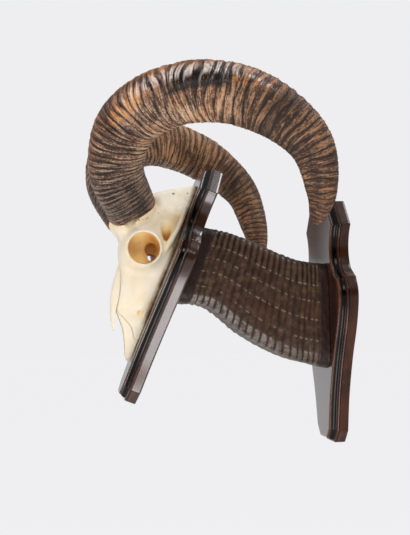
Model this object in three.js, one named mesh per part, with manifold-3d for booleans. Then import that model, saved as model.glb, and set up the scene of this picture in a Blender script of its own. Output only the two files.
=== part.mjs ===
// A mounted mouflon ram skull: the skull with its horns on a small shield, held out from a wall
// shield of the same shape by a carved wooden arm.
// Millimetres. +Z is up, the trophy faces -Y and the wall is at +Y. The origin is the centre of
// the wall shield's back face. +X is the ram's left.
import * as THREE from "three";
import { mergeVertices } from "three/addons/utils/BufferGeometryUtils.js";
import Module from "manifold-3d";

const wasm = await Module();
wasm.setup();

// ---------------------------------------------------------------- driving dimensions

// Gap kept between touching pieces.
const GAP = 0.3;

// Both shields are the same. The outline is half the shield, x from its middle, z from its centre.
const SHIELD = {
  height: 310,
  thickness: 24,
  topHalf: 42.4,
  slantCorner: [68.4, 122.4],
  neckPull: [55.9, 107.55],
  neck: [56.9, 88.7],
  shoulderPull: [58.9, 64.7],
  belly: [[83.5, 57.7], [93.1, 35], [84.6, 0], [61.3, -46.5], [43.5, -93], [33, -139.2]],
  footHalf: 18,
};
// Edge moulding: inset from the outline, and height above the back face.
const MOULDING = [[1, 0], [0, 1], [0, 16], [2.6, 17], [3.2, 20.6], [5.4, 22.8], [7, 24]];

// The skull's shield: how far it leans, and where its front face's lower edge is.
const LEAN = THREE.MathUtils.degToRad(21.68);
const SKULL_SHIELD_FOOT = [-292.8, -88.4];

// Arm: where it meets the skull's shield, up from that shield's foot, its edges between the two
// shields as [y, z], and its half thickness.
const ARM = {
  meets: [136, 239],
  top: [[-143, 115.5], [-103, 98.8], [-63, 82], [-24.3, 76]],
  bottom: [[-175.5, 21], [-131, -14.5], [-79, -43.5], [-24.3, -59]],
  halfThickness: [42, 45],
  squareness: 0.34,
  sides: 20,
  steps: 16,
};

// Hanger plate let into the back of the wall shield.
const HANGER = {
  width: 46, height: 18, depth: 2, z: 104, screw: 5, head: 9.5, headDrop: 3, slotRise: 5, pocket: 10,
};

// The skull's own frame: x across, s up along its shield from the foot, n out of the shield.
// Horn centre line as [x, s, n, radius], root to tip, for the left horn, whose tip is worn short.
const LEFT_HORN = [
  [31.9, 221.3, 65.6, 34.3],
  [61.9, 260, 104.6, 34.3],
  [99.2, 309.2, 110.3, 35.4],
  [139.6, 345.3, 81.2, 35.1],
  [174.8, 364.3, 33.9, 33.7],
  [196.6, 365.4, -23.4, 30.6],
  [203.1, 345, -81.7, 26],
  [192, 300.5, -118.5, 16],
  [166, 263.5, -130, 1.6],
];
// The right horn, mirrored to the left: the same up to its last bend, then longer.
const RIGHT_HORN = [
  ...LEFT_HORN.slice(0, 7),
  [191, 301, -120.5, 20],
  [175.5, 263.5, -136.5, 13],
  [158, 243, -138, 1.6],
];
const HORN = { sides: 18, steps: 30, narrow: 0.8, threeSided: 0.07, curlCentre: [300, -10] };

// Horn core below the horn's root: distance back from it, and size against the root's radius.
const HORN_CORE = [[44, 0.62], [22, 0.86], [0.5, 0.965]];

// Skull sections as [s, half width, height, squareness], from nose to nape.
const FACE = [
  [70, 11, 20, 0.8],
  [90, 18, 37, 0.8],
  [104, 22.5, 41.5, 0.8],
  [124, 30, 44.5, 0.8],
  [141, 34, 49.5, 0.85],
  [156, 38, 55.5, 0.85],
  [170, 44.5, 59, 0.75],
  [184, 49, 63, 0.68],
  [197, 50, 68, 0.66],
  [210, 46, 66, 0.7],
];
const BRAINCASE = [
  [188, 26, 66, 0.8],
  [202, 32, 80, 0.85],
  [218, 34, 77, 0.9],
  [236, 34.5, 67, 0.9],
  [252, 34, 55, 0.9],
  [264, 33, 42, 0.95],
  [274, 31, 26, 0.95],
  [282, 27, 12, 0.9],
  [286, 22, 5, 0.9],
];
const ORBIT = {
  s: 184.5,
  n: 36.6,
  rim: [[0, 0], [0, 30], [30, 29], [45, 26], [53, 23.6], [56.5, 21.6], [56.5, 0]],
  socket: [[20, 0], [22, 9], [31, 17], [44, 20.3], [52, 19.3], [60, 21.5], [60, 0]],
  window: { s: 179, n: 22.8, radius: 5.5 },
};
const TEMPORAL_FOSSA = { x: 50, s: 226, n: 26, radii: [17, 20, 30] };
// Cheek arch as [x, s, n], with its half thickness and half height.
const CHEEK_ARCH = {
  line: [
    [47, 185, 14], [52, 196, 10.6], [53, 206, 8.9], [52, 216, 7.4], [49.5, 227, 5.6], [44, 239, 4.4],
    [34, 249, 5],
  ],
  half: [3.2, 4.2],
};
const NOSE_HOLE = { s: 96, n: 21, radii: [11.5, 40, 13] };

// Nose bones as [s, half width, top, lower edge].
const NASAL = [
  [76.5, 2.2, 34.2, 32.4],
  [84, 7, 39.6, 35.2],
  [92, 9.5, 43.6, 37.8],
  [101, 11.5, 47.4, 40],
  [116, 12.2, 52.2, 42],
  [133, 12.2, 55.5, 45.8],
  [147, 10.5, 56.6, 50.6],
  [157, 4.5, 57.2, 54.6],
];
// Front jaw bones: the seam against the upper jaw and the free edge, as [s, n].
const SEAM = [[76.5, 0.6], [77.1, 6.6], [83.8, 10.4], [89.9, 15.4], [97.5, 30], [101.1, 39.5]];
// The seam carried on below and above the bone, and round the space in front of it.
const AHEAD_OF_SEAM = [[30, -5], [76.5, -5], ...SEAM, [106, 60], [30, 60]];
const SNOUT_EDGE = [[92.3, 30.8], [78.7, 20.3], [65, 13.7], [53.2, 9.3], [47, 4.6], [47.4, 2.2], [62, 1]];
const SNOUT = { blade: 3.2, lateral: [[47, 4.5], [62, 8.8], [80, 12.6], [101.1, 16.4]] };

// ---------------------------------------------------------------- materials

function material(color, roughness, metalness = 0) {
  return new THREE.MeshStandardMaterial({ color, roughness, metalness });
}
const BONE = material(0xe9dcbc, 0.6);
const HORN_SHEATH = material(0x6b4a33, 0.55);
const SHIELD_WOOD = material(0x2f1d17, 0.35);
const ARM_WOOD = material(0x3a2619, 0.45);
const STEEL = material(0x8d8f92, 0.4, 0.9);

// ---------------------------------------------------------------- shape helpers

// Smooth curve through rows of numbers, u from 0 to 1.
function along(rows, u) {
  const last = rows.length - 1;
  const x = Math.min(Math.max(u, 0), 1) * last;
  const i = Math.min(Math.floor(x), last - 1);
  const f = x - i;
  const before = rows[i - 1] ?? rows[i].map((v, k) => 2 * v - rows[i + 1][k]);
  const after = rows[i + 2] ?? rows[i + 1].map((v, k) => 2 * v - rows[i][k]);
  return rows[i].map((b, k) => {
    const [a, c, d] = [before[k], rows[i + 1][k], after[k]];
    return 0.5 * (2 * b + (c - a) * f + (2 * a - 5 * b + 4 * c - d) * f ** 2
      + (3 * b - a - 3 * c + d) * f ** 3);
  });
}

function steps(count, make) {
  return Array.from({ length: count + 1 }, (_, i) => make(i / count));
}

// Angles of one whole turn.
function turn(count) {
  return steps(count, (t) => t * 2 * Math.PI).slice(0, count);
}

// A point of the skull's frame, where n points out of the shield and the shield's foot is s = 0.
function skullPoint(x, s, n) {
  return new THREE.Vector3(x, -n, s);
}

// Closed body through rings of equal length, with a flat cap at each end.
function loft(rings) {
  const size = rings[0].length;
  const middle = (ring) => ring.reduce((sum, p) => sum.add(p), new THREE.Vector3()).divideScalar(size);
  const points = [...rings.flat(), middle(rings[0]), middle(rings.at(-1))];
  const index = [];
  for (let j = 0; j < size; j += 1) {
    const next = (j + 1) % size;
    for (let i = 0; i + 1 < rings.length; i += 1) {
      const [a, b, c, d] = [i * size + j, i * size + next, (i + 1) * size + next, (i + 1) * size + j];
      index.push(a, b, c, a, c, d);
    }
    const top = (rings.length - 1) * size;
    index.push(points.length - 2, next, j, points.length - 1, top + j, top + next);
  }
  return bodyOf(points, index);
}

// Geometry with its faces turned outward.
function bodyOf(points, index) {
  let volume = 0;
  for (let i = 0; i < index.length; i += 3) {
    const [a, b, c] = [points[index[i]], points[index[i + 1]], points[index[i + 2]]];
    volume += a.dot(new THREE.Vector3().crossVectors(b, c));
  }
  const geometry = new THREE.BufferGeometry().setFromPoints(points);
  geometry.setIndex(volume < 0 ? index.toReversed() : index);
  return geometry;
}

function toSolid(source) {
  const geometry = mergeVertices(positionsOnly(source), 1e-3);
  return new wasm.Manifold(new wasm.Mesh({
    numProp: 3,
    vertProperties: new Float32Array(geometry.attributes.position.array),
    triVerts: new Uint32Array(withoutCollapsed(Array.from(geometry.index.array))),
  }));
}

function positionsOnly(geometry) {
  const bare = geometry.clone();
  bare.deleteAttribute("normal");
  bare.deleteAttribute("uv");
  return bare;
}

// Triangles that still have three different corners.
function withoutCollapsed(index) {
  const triangles = Array.from({ length: index.length / 3 }, (_, i) => index.slice(3 * i, 3 * i + 3));
  return triangles.filter((corners) => new Set(corners).size === 3).flat();
}

function toGeometry(solid) {
  const mesh = solid.getMesh();
  const geometry = new THREE.BufferGeometry();
  geometry.setAttribute("position", new THREE.BufferAttribute(mesh.vertProperties, 3));
  geometry.setIndex(new THREE.BufferAttribute(mesh.triVerts, 1));
  return geometry;
}

function join(solids) {
  return solids.reduce((sum, solid) => sum.add(solid));
}

function cut(solid, cutters) {
  return cutters.reduce((rest, cutter) => rest.subtract(cutter), solid);
}

// The largest connected piece, without the crumbs and sealed hollows that cuts can leave.
function mainBody(solid) {
  const bodies = toSolid(toGeometry(solid)).decompose();
  return bodies.reduce((a, b) => (b.volume() > a.volume() ? b : a));
}

// Block between two corners.
function block(low, high) {
  const size = high.map((v, k) => v - low[k]);
  const box = new THREE.BoxGeometry(...size);
  return toSolid(box.translate(...low.map((v, k) => v + size[k] / 2)));
}

function mirrored(solid) {
  return solid.mirror([1, 0, 0]);
}

// ---------------------------------------------------------------- shields

// Outline of a shield as [x, z], all round.
function shieldOutline() {
  const half = SHIELD.height / 2;
  const path = new THREE.Path();
  path.moveTo(SHIELD.topHalf, half);
  path.lineTo(...SHIELD.slantCorner);
  path.quadraticCurveTo(...SHIELD.neckPull, ...SHIELD.neck);
  path.quadraticCurveTo(...SHIELD.shoulderPull, ...SHIELD.belly[0]);
  const side = path.getPoints(5).map((p) => [p.x, p.y]);
  const belly = steps(14, (u) => along(SHIELD.belly, u)).slice(1);
  const right = [...side, ...belly, [SHIELD.footHalf, -half]];
  return [...right, ...right.map(([x, z]) => [-x, z]).toReversed()];
}

// The outline moved inward by a distance, corner by corner.
function insetOutline(outline, distance) {
  const count = outline.length;
  return outline.map(([x, z], i) => {
    const [px, pz] = outline[(i + count - 1) % count];
    const [nx, nz] = outline[(i + 1) % count];
    const before = new THREE.Vector2(z - pz, px - x).normalize();
    const after = new THREE.Vector2(nz - z, x - nx).normalize();
    const way = before.clone().add(after).normalize();
    const reach = distance / Math.max(way.dot(after), 0.5);
    return [x + way.x * reach, z + way.y * reach];
  });
}

// Shield solid with its back face at y = 0 and its front at -thickness.
function shieldSolid() {
  const outline = shieldOutline();
  return toSolid(loft(MOULDING.map(([inset, height]) =>
    insetOutline(outline, inset).map(([x, z]) => new THREE.Vector3(x, -height, z)))));
}

// Round hole through the board's back, deep enough for a screw's head.
function screwPocket(z) {
  const radius = HANGER.head / 2 + 1;
  return toSolid(new THREE.CylinderGeometry(radius, radius, 2 * HANGER.pocket, 20).translate(0, 0, z));
}

function wallShield() {
  const halfWidth = HANGER.width / 2 + GAP;
  const halfHeight = HANGER.height / 2 + GAP;
  const recess = block(
    [-halfWidth, -HANGER.depth - 2 * GAP, HANGER.z - halfHeight],
    [halfWidth, 1, HANGER.z + halfHeight],
  );
  return cut(shieldSolid(), [recess, screwPocket(HANGER.z), screwPocket(HANGER.z - HANGER.headDrop)]);
}

// Steel plate with a keyhole: a wide hole for the screw's head and a narrow slot above it.
function hangerPlate() {
  const plate = block(
    [-HANGER.width / 2, -HANGER.depth - GAP, HANGER.z - HANGER.height / 2],
    [HANGER.width / 2, -GAP, HANGER.z + HANGER.height / 2],
  );
  const low = HANGER.z - HANGER.headDrop;
  const head = toSolid(new THREE.CylinderGeometry(HANGER.head / 2, HANGER.head / 2, 4 * HANGER.depth, 20)
    .translate(0, 0, low));
  const slot = block(
    [-HANGER.screw / 2, -2 * HANGER.depth, low],
    [HANGER.screw / 2, 2 * HANGER.depth, HANGER.z + HANGER.slotRise],
  );
  return cut(plate, [head, slot]);
}

// ---------------------------------------------------------------- arm

function armGeometry() {
  const lean = (s) => [
    SKULL_SHIELD_FOOT[0] + s * Math.sin(LEAN) + (SHIELD.thickness + GAP) * Math.cos(LEAN),
    SKULL_SHIELD_FOOT[1] + s * Math.cos(LEAN) - (SHIELD.thickness + GAP) * Math.sin(LEAN),
  ];
  const bottom = [lean(ARM.meets[0]), ...ARM.bottom];
  const top = [lean(ARM.meets[1]), ...ARM.top];
  return loft(steps(ARM.steps, (u) => {
    const [lowY, lowZ] = along(bottom, u);
    const [highY, highZ] = along(top, u);
    const half = THREE.MathUtils.lerp(...ARM.halfThickness, u);
    return turn(ARM.sides).map((angle) => {
      const across = roundedPower(Math.cos(angle), ARM.squareness) * half;
      const up = (1 + roundedPower(Math.sin(angle), ARM.squareness)) / 2;
      return new THREE.Vector3(across, lowY + (highY - lowY) * up, lowZ + (highZ - lowZ) * up);
    });
  }));
}

// A cosine or sine raised to a power with its sign kept: 1 gives a round, less gives a squarer one.
function roundedPower(value, power) {
  return Math.sign(value) * Math.abs(value) ** power;
}

// ---------------------------------------------------------------- horns

// Horn body in the skull's frame: widened by extra, and started back along its line by lead.
function hornGeometry(rows, extra = 0, lead = 0) {
  const centre = steps(HORN.steps, (u) => along(rows, u));
  const line = centre.map(([x, s, n]) => skullPoint(x, s, n));
  const curl = skullPoint(0, HORN.curlCentre[0], HORN.curlCentre[1]);
  return loft(line.map((point, i) => {
    const onward = line[Math.min(i + 1, line.length - 1)].clone().sub(line[Math.max(i - 1, 0)]).normalize();
    const outward = point.clone().sub(curl).setX(0);
    outward.addScaledVector(onward, -outward.dot(onward)).normalize();
    const sideways = new THREE.Vector3().crossVectors(onward, outward);
    const start = i === 0 ? point.clone().addScaledVector(onward, -lead) : point;
    return turn(HORN.sides).map((angle) => {
      const radius = centre[i][3] * (1 - HORN.threeSided * Math.cos(3 * angle)) + extra;
      return start.clone()
        .addScaledVector(outward, radius * Math.cos(angle))
        .addScaledVector(sideways, radius * HORN.narrow * Math.sin(angle));
    });
  }));
}

// Bone stub that the horn stands on: from just below the horn's root down into the skull.
function hornCore() {
  const [x, s, n, radius] = LEFT_HORN[0];
  const root = skullPoint(x, s, n);
  const way = skullPoint(...along(LEFT_HORN, 1 / HORN.steps)).sub(root).normalize();
  return toSolid(hornGeometry(HORN_CORE.map(([back, size]) => {
    const p = root.clone().addScaledVector(way, -back);
    return [p.x, p.z, -p.y, radius * size];
  })));
}

// ---------------------------------------------------------------- skull

// Arched body standing on the shield, through rows of [s, half width, height, squareness].
function archedBody(rows, count, sides) {
  return toSolid(loft(steps(count, (u) => {
    const [s, halfWidth, height, squareness] = along(rows, u);
    return steps(sides, (t) => t * Math.PI).map((angle) => skullPoint(
      halfWidth * roundedPower(Math.cos(angle), squareness),
      s,
      height * roundedPower(Math.sin(angle), squareness),
    ));
  })));
}

// Body turned about the left-to-right line through the orbits, from rows of [x, radius].
function turnedOnOrbit(profile) {
  const lathe = new THREE.LatheGeometry(profile.map(([x, radius]) => new THREE.Vector2(radius, x)), 24);
  return toSolid(lathe.rotateZ(-Math.PI / 2).translate(0, -ORBIT.n, ORBIT.s));
}

function ellipsoid({ x = 0, s, n, radii }) {
  const ball = new THREE.SphereGeometry(1, 20, 12);
  return toSolid(ball.scale(radii[0], radii[2], radii[1]).translate(x, -n, s));
}

function cheekArch() {
  const [thin, high] = CHEEK_ARCH.half;
  return toSolid(loft(steps(10, (u) => {
    const centre = skullPoint(...along(CHEEK_ARCH.line, u));
    return turn(8).map((angle) =>
      centre.clone().add(new THREE.Vector3(thin * Math.cos(angle), high * Math.sin(angle), 0)));
  })));
}

// Everything in front of the seam between upper jaw and front jaw bones.
function seamCutter() {
  const shape = new THREE.Shape(AHEAD_OF_SEAM.map(([s, n]) => new THREE.Vector2(s, n)));
  const geometry = new THREE.ExtrudeGeometry(shape, { depth: 140, bevelEnabled: false });
  // The shape's x is s and its y is n; the extrusion runs across the skull.
  const toSkull = new THREE.Matrix4().set(0, 0, 1, -70, 0, -1, 0, 0, 1, 0, 0, 0, 0, 0, 0, 1);
  return toSolid(flipped(geometry.applyMatrix4(toSkull), toSkull));
}

// Geometry whose matrix mirrored it, with its faces turned back outward.
function flipped(geometry, matrix) {
  const merged = mergeVertices(positionsOnly(geometry), 1e-3);
  const index = Array.from(merged.index.array);
  merged.setIndex(matrix.determinant() < 0 ? index.toReversed() : index);
  return merged;
}

// Nose bone on the left, with room for a gap when used as a cutter.
function nasalSolid(grow = 0) {
  return toSolid(loft(steps(14, (u) => {
    const [s, halfWidth, top, low] = along(NASAL, u);
    const inner = GAP / 2 - grow;
    const arch = steps(7, (t) => t * Math.PI / 2).map((angle) => skullPoint(
      inner + (halfWidth + 2 * grow) * Math.cos(angle),
      s,
      low - grow + (top - low + 6 * grow) * Math.sin(angle),
    ));
    return [...arch, skullPoint(inner, s, low - grow)];
  })));
}

// Front jaw bone on the left: a thin blade whose two sides draw together toward the tip.
function snoutBlade() {
  const edge = [...SEAM.map(([s, n]) => [s - GAP - 0.1, n]), ...SNOUT_EDGE];
  const shape = new THREE.Shape(edge.map(([s, n]) => new THREE.Vector2(s, n)));
  const geometry = new THREE.ExtrudeGeometry(shape, { depth: SNOUT.blade, bevelEnabled: false });
  const toSkull = new THREE.Matrix4().set(0, 0, 1, 0, 0, -1, 0, 0, 1, 0, 0, 0, 0, 0, 0, 1);
  const blade = flipped(geometry.applyMatrix4(toSkull), toSkull);
  const place = blade.attributes.position;
  const [first, last] = [SNOUT.lateral[0][0], SNOUT.lateral.at(-1)[0]];
  for (let i = 0; i < place.count; i += 1) {
    const offset = along(SNOUT.lateral, (place.getZ(i) - first) / (last - first))[1];
    place.setX(i, place.getX(i) + offset);
  }
  return toSolid(blade);
}

function craniumSolid() {
  const rim = turnedOnOrbit(ORBIT.rim);
  const fossa = ellipsoid(TEMPORAL_FOSSA);
  const face = cut(join([archedBody(FACE, 16, 18), rim, mirrored(rim)]), [fossa, mirrored(fossa)]);
  const left = [hornCore(), cheekArch()];
  const bone = join([face, archedBody(BRAINCASE, 13, 18), ...left, ...left.map(mirrored)]);
  const { s, n, radius } = ORBIT.window;
  const hole = new THREE.CylinderGeometry(radius, radius, 80, 16).rotateZ(Math.PI / 2).translate(0, -n, s);
  const socket = turnedOnOrbit(ORBIT.socket);
  const hornRoom = [LEFT_HORN, RIGHT_HORN].map((rows) => toSolid(hornGeometry(rows, GAP + 0.1, GAP)));
  const nasal = nasalSolid(GAP);
  const noseHole = ellipsoid(NOSE_HOLE).intersect(block([-60, -60, 0], [60, -6, 200]));
  return mainBody(cut(bone, [
    toSolid(hole),
    socket, mirrored(socket),
    hornRoom[0], mirrored(hornRoom[1]),
    nasal, mirrored(nasal),
    noseHole,
    seamCutter(),
    block([-90, -GAP, 0], [90, 30, 320]),
  ]));
}

// ---------------------------------------------------------------- the object

function piece(name, geometry, look) {
  const mesh = new THREE.Mesh(geometry, look);
  mesh.name = name;
  return mesh;
}

const trophy = new THREE.Group();
trophy.add(
  piece("wall_shield", toGeometry(wallShield()), SHIELD_WOOD),
  piece("hanger_plate", toGeometry(hangerPlate()), STEEL),
  piece("arm", armGeometry(), ARM_WOOD),
);

// The skull and its shield share one leaning frame.
const skull = new THREE.Group();
skull.rotation.x = -LEAN;
skull.position.set(0, ...SKULL_SHIELD_FOOT);
trophy.add(skull);

const skullShield = piece("skull_shield", toGeometry(shieldSolid()), SHIELD_WOOD);
skullShield.position.set(0, SHIELD.thickness, SHIELD.height / 2);
const nasal = nasalSolid();
const premaxilla = snoutBlade();
skull.add(
  skullShield,
  piece("cranium", toGeometry(craniumSolid()), BONE),
  piece("nasal_left", toGeometry(nasal), BONE),
  piece("nasal_right", toGeometry(mirrored(nasal)), BONE),
  piece("premaxilla_left", toGeometry(premaxilla), BONE),
  piece("premaxilla_right", toGeometry(mirrored(premaxilla)), BONE),
  piece("horn_left", toGeometry(toSolid(hornGeometry(LEFT_HORN))), HORN_SHEATH),
  piece("horn_right", toGeometry(mirrored(toSolid(hornGeometry(RIGHT_HORN)))), HORN_SHEATH),
);

export default trophy;
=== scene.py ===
import math

import bpy
import numpy as np
from mathutils import Matrix, Vector


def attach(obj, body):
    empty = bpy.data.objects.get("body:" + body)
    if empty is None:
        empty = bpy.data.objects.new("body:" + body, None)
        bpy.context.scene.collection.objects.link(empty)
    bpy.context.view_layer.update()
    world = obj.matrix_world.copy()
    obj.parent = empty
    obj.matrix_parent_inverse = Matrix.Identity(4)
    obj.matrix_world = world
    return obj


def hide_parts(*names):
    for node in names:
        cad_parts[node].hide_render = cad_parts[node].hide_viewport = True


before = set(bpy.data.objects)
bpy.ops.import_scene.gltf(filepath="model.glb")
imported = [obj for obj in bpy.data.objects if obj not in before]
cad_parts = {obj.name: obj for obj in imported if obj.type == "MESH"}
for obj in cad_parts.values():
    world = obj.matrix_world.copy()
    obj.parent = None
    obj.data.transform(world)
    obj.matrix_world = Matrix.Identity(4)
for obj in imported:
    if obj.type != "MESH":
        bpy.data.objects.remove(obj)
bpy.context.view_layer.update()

# ---------------- camera
# One long lens on the ram's left, a little in front of the skull and just below the horns,
# looking across the trophy and slightly up, with a small tilt of the hand.
LENS_MM = 62.19
SENSOR_MM = 36.0
CAMERA_PLACE = (1.1822, -0.3537, 0.0124)
CAMERA_SIGHT = (-0.9876, 0.1487, 0.0516)
CAMERA_TILT = math.radians(-1.25)


def put_in_scene(name, data):
    """A new object of some data, linked into the scene."""
    made = bpy.data.objects.new(name, data)
    bpy.context.scene.collection.objects.link(made)
    return made


camera_data = bpy.data.cameras.new("camera")
camera_data.lens = LENS_MM
camera_data.sensor_width = SENSOR_MM
camera = put_in_scene("camera", camera_data)
bpy.context.scene.camera = camera

sight = Vector(CAMERA_SIGHT).normalized()
level = sight.cross(Vector((0, 0, 1))).normalized()
overhead = level.cross(sight)
across = level * math.cos(CAMERA_TILT) + overhead * math.sin(CAMERA_TILT)
upright = overhead * math.cos(CAMERA_TILT) - level * math.sin(CAMERA_TILT)
turned = Matrix((across, upright, -sight)).transposed().to_4x4()
camera.matrix_world = Matrix.Translation(CAMERA_PLACE) @ turned

# ---------------- the two shields
# Two like boards of stained hardwood: one hangs on the wall, the other carries the skull.
# Each is sawn to a heater shape with a necked top, its front edge run with a small step and
# cove, then stained nearly black and varnished to a satin gloss, rubbed redder on the arrises.
SHIELD_HALF_HEIGHT = 155.0
SHIELD_THICKNESS = 24.0
SHIELD_TOP_HALF = 42.4
SHIELD_SLANT = (68.4, 122.4)
SHIELD_NECK = (56.9, 88.7)
# What the two hollows of the neck bend toward, above it and below it.
SHIELD_NECK_PULLS = ((55.9, 107.55), (58.9, 64.7))
SHIELD_BELLY = [(83.5, 57.7), (93.1, 35), (84.6, 0), (61.3, -46.5), (43.5, -93), (33, -139.2)]
SHIELD_FOOT_HALF = 18.0
# Inset from the outline, height above the back face, and how much the stain is rubbed there: the
# back arris, the side with its scratched line, the step, the cove, the bead and the front face.
SHIELD_EDGE = [
    (1.4, 0.0, 0.0), (0.5, 0.3, 0.2), (0.0, 1.2, 0.3), (0.0, 3.0, 0.0), (0.0, 8.0, 0.0),
    (0.0, 11.6, 0.0), (0.5, 12.0, 0.0), (0.5, 12.4, 0.0), (0.0, 12.8, 0.0), (0.15, 13.8, 0.1),
    (0.6, 14.4, 0.25), (1.3, 14.75, 0.2), (2.2, 14.9, 0.0), (3.2, 15.1, 0.0),
    (3.6, 15.6, 0.0), (3.6, 16.6, 0.0), (3.7, 17.8, 0.0), (4.0, 19.0, 0.0), (4.5, 20.0, 0.0),
    (5.2, 20.8, 0.0), (5.7, 21.2, 0.0), (5.9, 21.5, 0.2), (5.75, 22.1, 0.5),
    (5.9, 22.9, 0.7), (6.4, 23.6, 0.8), (7.2, 23.95, 0.6), (8.4, 24.0, 0.2), (10.5, 24.0, 0.0),
    (15.0, 24.0, 0.0),
]
# Height above the back face, and how dark the scratched line is made and how black the cove is painted as
# shade.
SHIELD_COVE_SHADE_AND_DARK_LINE = [(11.7, 0), (12.0, 0.8), (12.4, 0.8), (12.7, 0), (15.0, 0), (15.4, 1), (20.2, 1), (21.3, 0)]
# Height above the back face, and how much it counts as the front face, whose varnish is full.
SHIELD_FRONT = [(23.4, 0), (23.9, 1)]
# The hanger's height in the wall board's back, with half widths, half heights and depths of the
# recess for its plate and of the pocket behind it, which sits a little lower.
HANGER_Z = 104.0
HANGER_RECESS = (23.3, 9.3, 2.6)
HANGER_POCKET = (5.75, 7.25, 10.0)
HANGER_POCKET_DROP = 1.5
# The skull's board leans about its foot, whose place is given as y and z.
LEAN = math.radians(21.68)
SKULL_BOARD_FOOT = (-292.8, -88.4)
MILLIMETRE = 0.001


def smooth_path(rows, u):
    """Curve through the rows: u from 0 to 1 runs evenly over their gaps, each gap is the cubic
    whose slope at a row is half the step between that row's neighbours, and the ends go straight on."""
    rows = np.asarray(rows, float)
    rows = np.vstack([2 * rows[0] - rows[1], rows, 2 * rows[-1] - rows[-2]])
    gaps = len(rows) - 3
    at = np.clip(u, 0, 1) * gaps
    first = np.minimum(at.astype(int), gaps - 1)
    f = (at - first)[..., None]
    a, b, c, d = (rows[first + k] for k in range(4))
    return 0.5 * (2 * b + (c - a) * f + (2 * a - 5 * b + 4 * c - d) * f**2 + (3 * b - a - 3 * c + d) * f**3)


def read_off(value, table):
    """Each further column of a table, read on straight lines at values of its first column."""
    first, *others = np.transpose(table)
    read = [np.interp(value, first, other) for other in others]
    return read if len(read) > 1 else read[0]


def run_along(line):
    """Distance from the first point of a line to each of its points."""
    return np.concatenate([[0], np.cumsum(np.linalg.norm(np.diff(line, axis=0), axis=1))])


def board_outline():
    """Half of a board's outline as x and z, from the middle of its top round to the middle of its
    foot: straight top and foot, two quadratic bows into the neck and out of it, and a smooth path
    down the belly, in even steps of a millimetre, each point eased toward its neighbours."""
    above, below = SHIELD_NECK_PULLS
    t = np.linspace(0, 1, 60)[:, None]

    def bow(start, pull, end):
        return (1 - t) ** 2 * np.array(start) + 2 * t * (1 - t) * np.array(pull) + t**2 * np.array(end)

    line = np.vstack([
        [[0, SHIELD_HALF_HEIGHT], [SHIELD_TOP_HALF, SHIELD_HALF_HEIGHT]],
        bow(SHIELD_SLANT, above, SHIELD_NECK),
        bow(SHIELD_NECK, below, SHIELD_BELLY[0])[1:],
        smooth_path(SHIELD_BELLY, np.linspace(0, 1, 160))[1:],
        [[SHIELD_FOOT_HALF, -SHIELD_HALF_HEIGHT], [0, -SHIELD_HALF_HEIGHT]],
    ])
    run = run_along(line)
    even = np.linspace(0, run[-1], int(run[-1]) + 1)
    line = np.column_stack([np.interp(even, run, line[:, k]) for k in (0, 1)])
    eased = line.copy()
    eased[1:-1] = (line[:-2] + 2 * line[1:-1] + line[2:]) / 4
    return eased


def drawn_in(ring, inward, inset):
    """The outline moved inward square to itself by an inset. A point that comes nearer than that to
    any part of the outline has passed a corner, and goes on the line between the last good ones."""
    moved = ring + inward * inset
    nearest = np.hypot(*(moved[:, None] - ring[None]).transpose(2, 0, 1)).min(axis=1)
    good = np.flatnonzero(nearest > inset * 0.98 - 0.02)
    at = np.arange(len(ring))
    return np.column_stack([np.interp(at, good, moved[good, k], period=len(ring)) for k in (0, 1)])


def board_mesh(hanger):
    """A board's grid of points as x, z and height, with its marks: each row of the edge profile is
    the outline drawn in by its inset, and two flat faces close the first row and the last. For the
    hanger, rows before the first draw in to a rectangle and an oval, each point on the ray from
    the hanger's middle to its point of the outline, and go down into the back."""
    half = board_outline()
    ring = np.vstack([half, (half * (-1, 1))[-2:0:-1]])
    onward = np.roll(ring, -1, 0) - np.roll(ring, 1, 0)
    inward = np.column_stack([onward[:, 1], -onward[:, 0]])
    inward /= np.linalg.norm(inward, axis=1)[:, None]
    rows = np.array(SHIELD_EDGE)
    height, rubbed = rows.T[1:, :, None]
    flat = np.stack([drawn_in(ring, inward, inset) for inset in rows[:, 0]])
    rings = np.dstack([flat, np.broadcast_to(height, flat.shape[:2])])
    worn = np.broadcast_to(rubbed, flat.shape[:2])
    cove = np.broadcast_to(read_off(height, SHIELD_COVE_SHADE_AND_DARK_LINE), flat.shape[:2])
    if hanger:
        ray = ring - (0, HANGER_Z)
        wide, tall, recess = HANGER_RECESS
        box = ray / np.maximum(np.abs(ray[:, :1]) / wide, np.abs(ray[:, 1:]) / tall) + (0, HANGER_Z)
        wide, tall, pocket = HANGER_POCKET
        oval = ray / np.hypot(ray[:, :1] / wide, ray[:, 1:] / tall) + (0, HANGER_Z - HANGER_POCKET_DROP)
        back = [np.column_stack([line, np.full(len(ring), deep)])
                for line, deep in ((oval, pocket), (oval, recess), (box, recess), (box, 0.0))]
        rings = np.vstack([back, rings])
        worn, cove = (np.vstack([np.zeros((len(back), len(ring))), part]) for part in (worn, cove))
    return rings, {"board": rings * MILLIMETRE, "rubbed": worn, "cove": cove}


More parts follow.
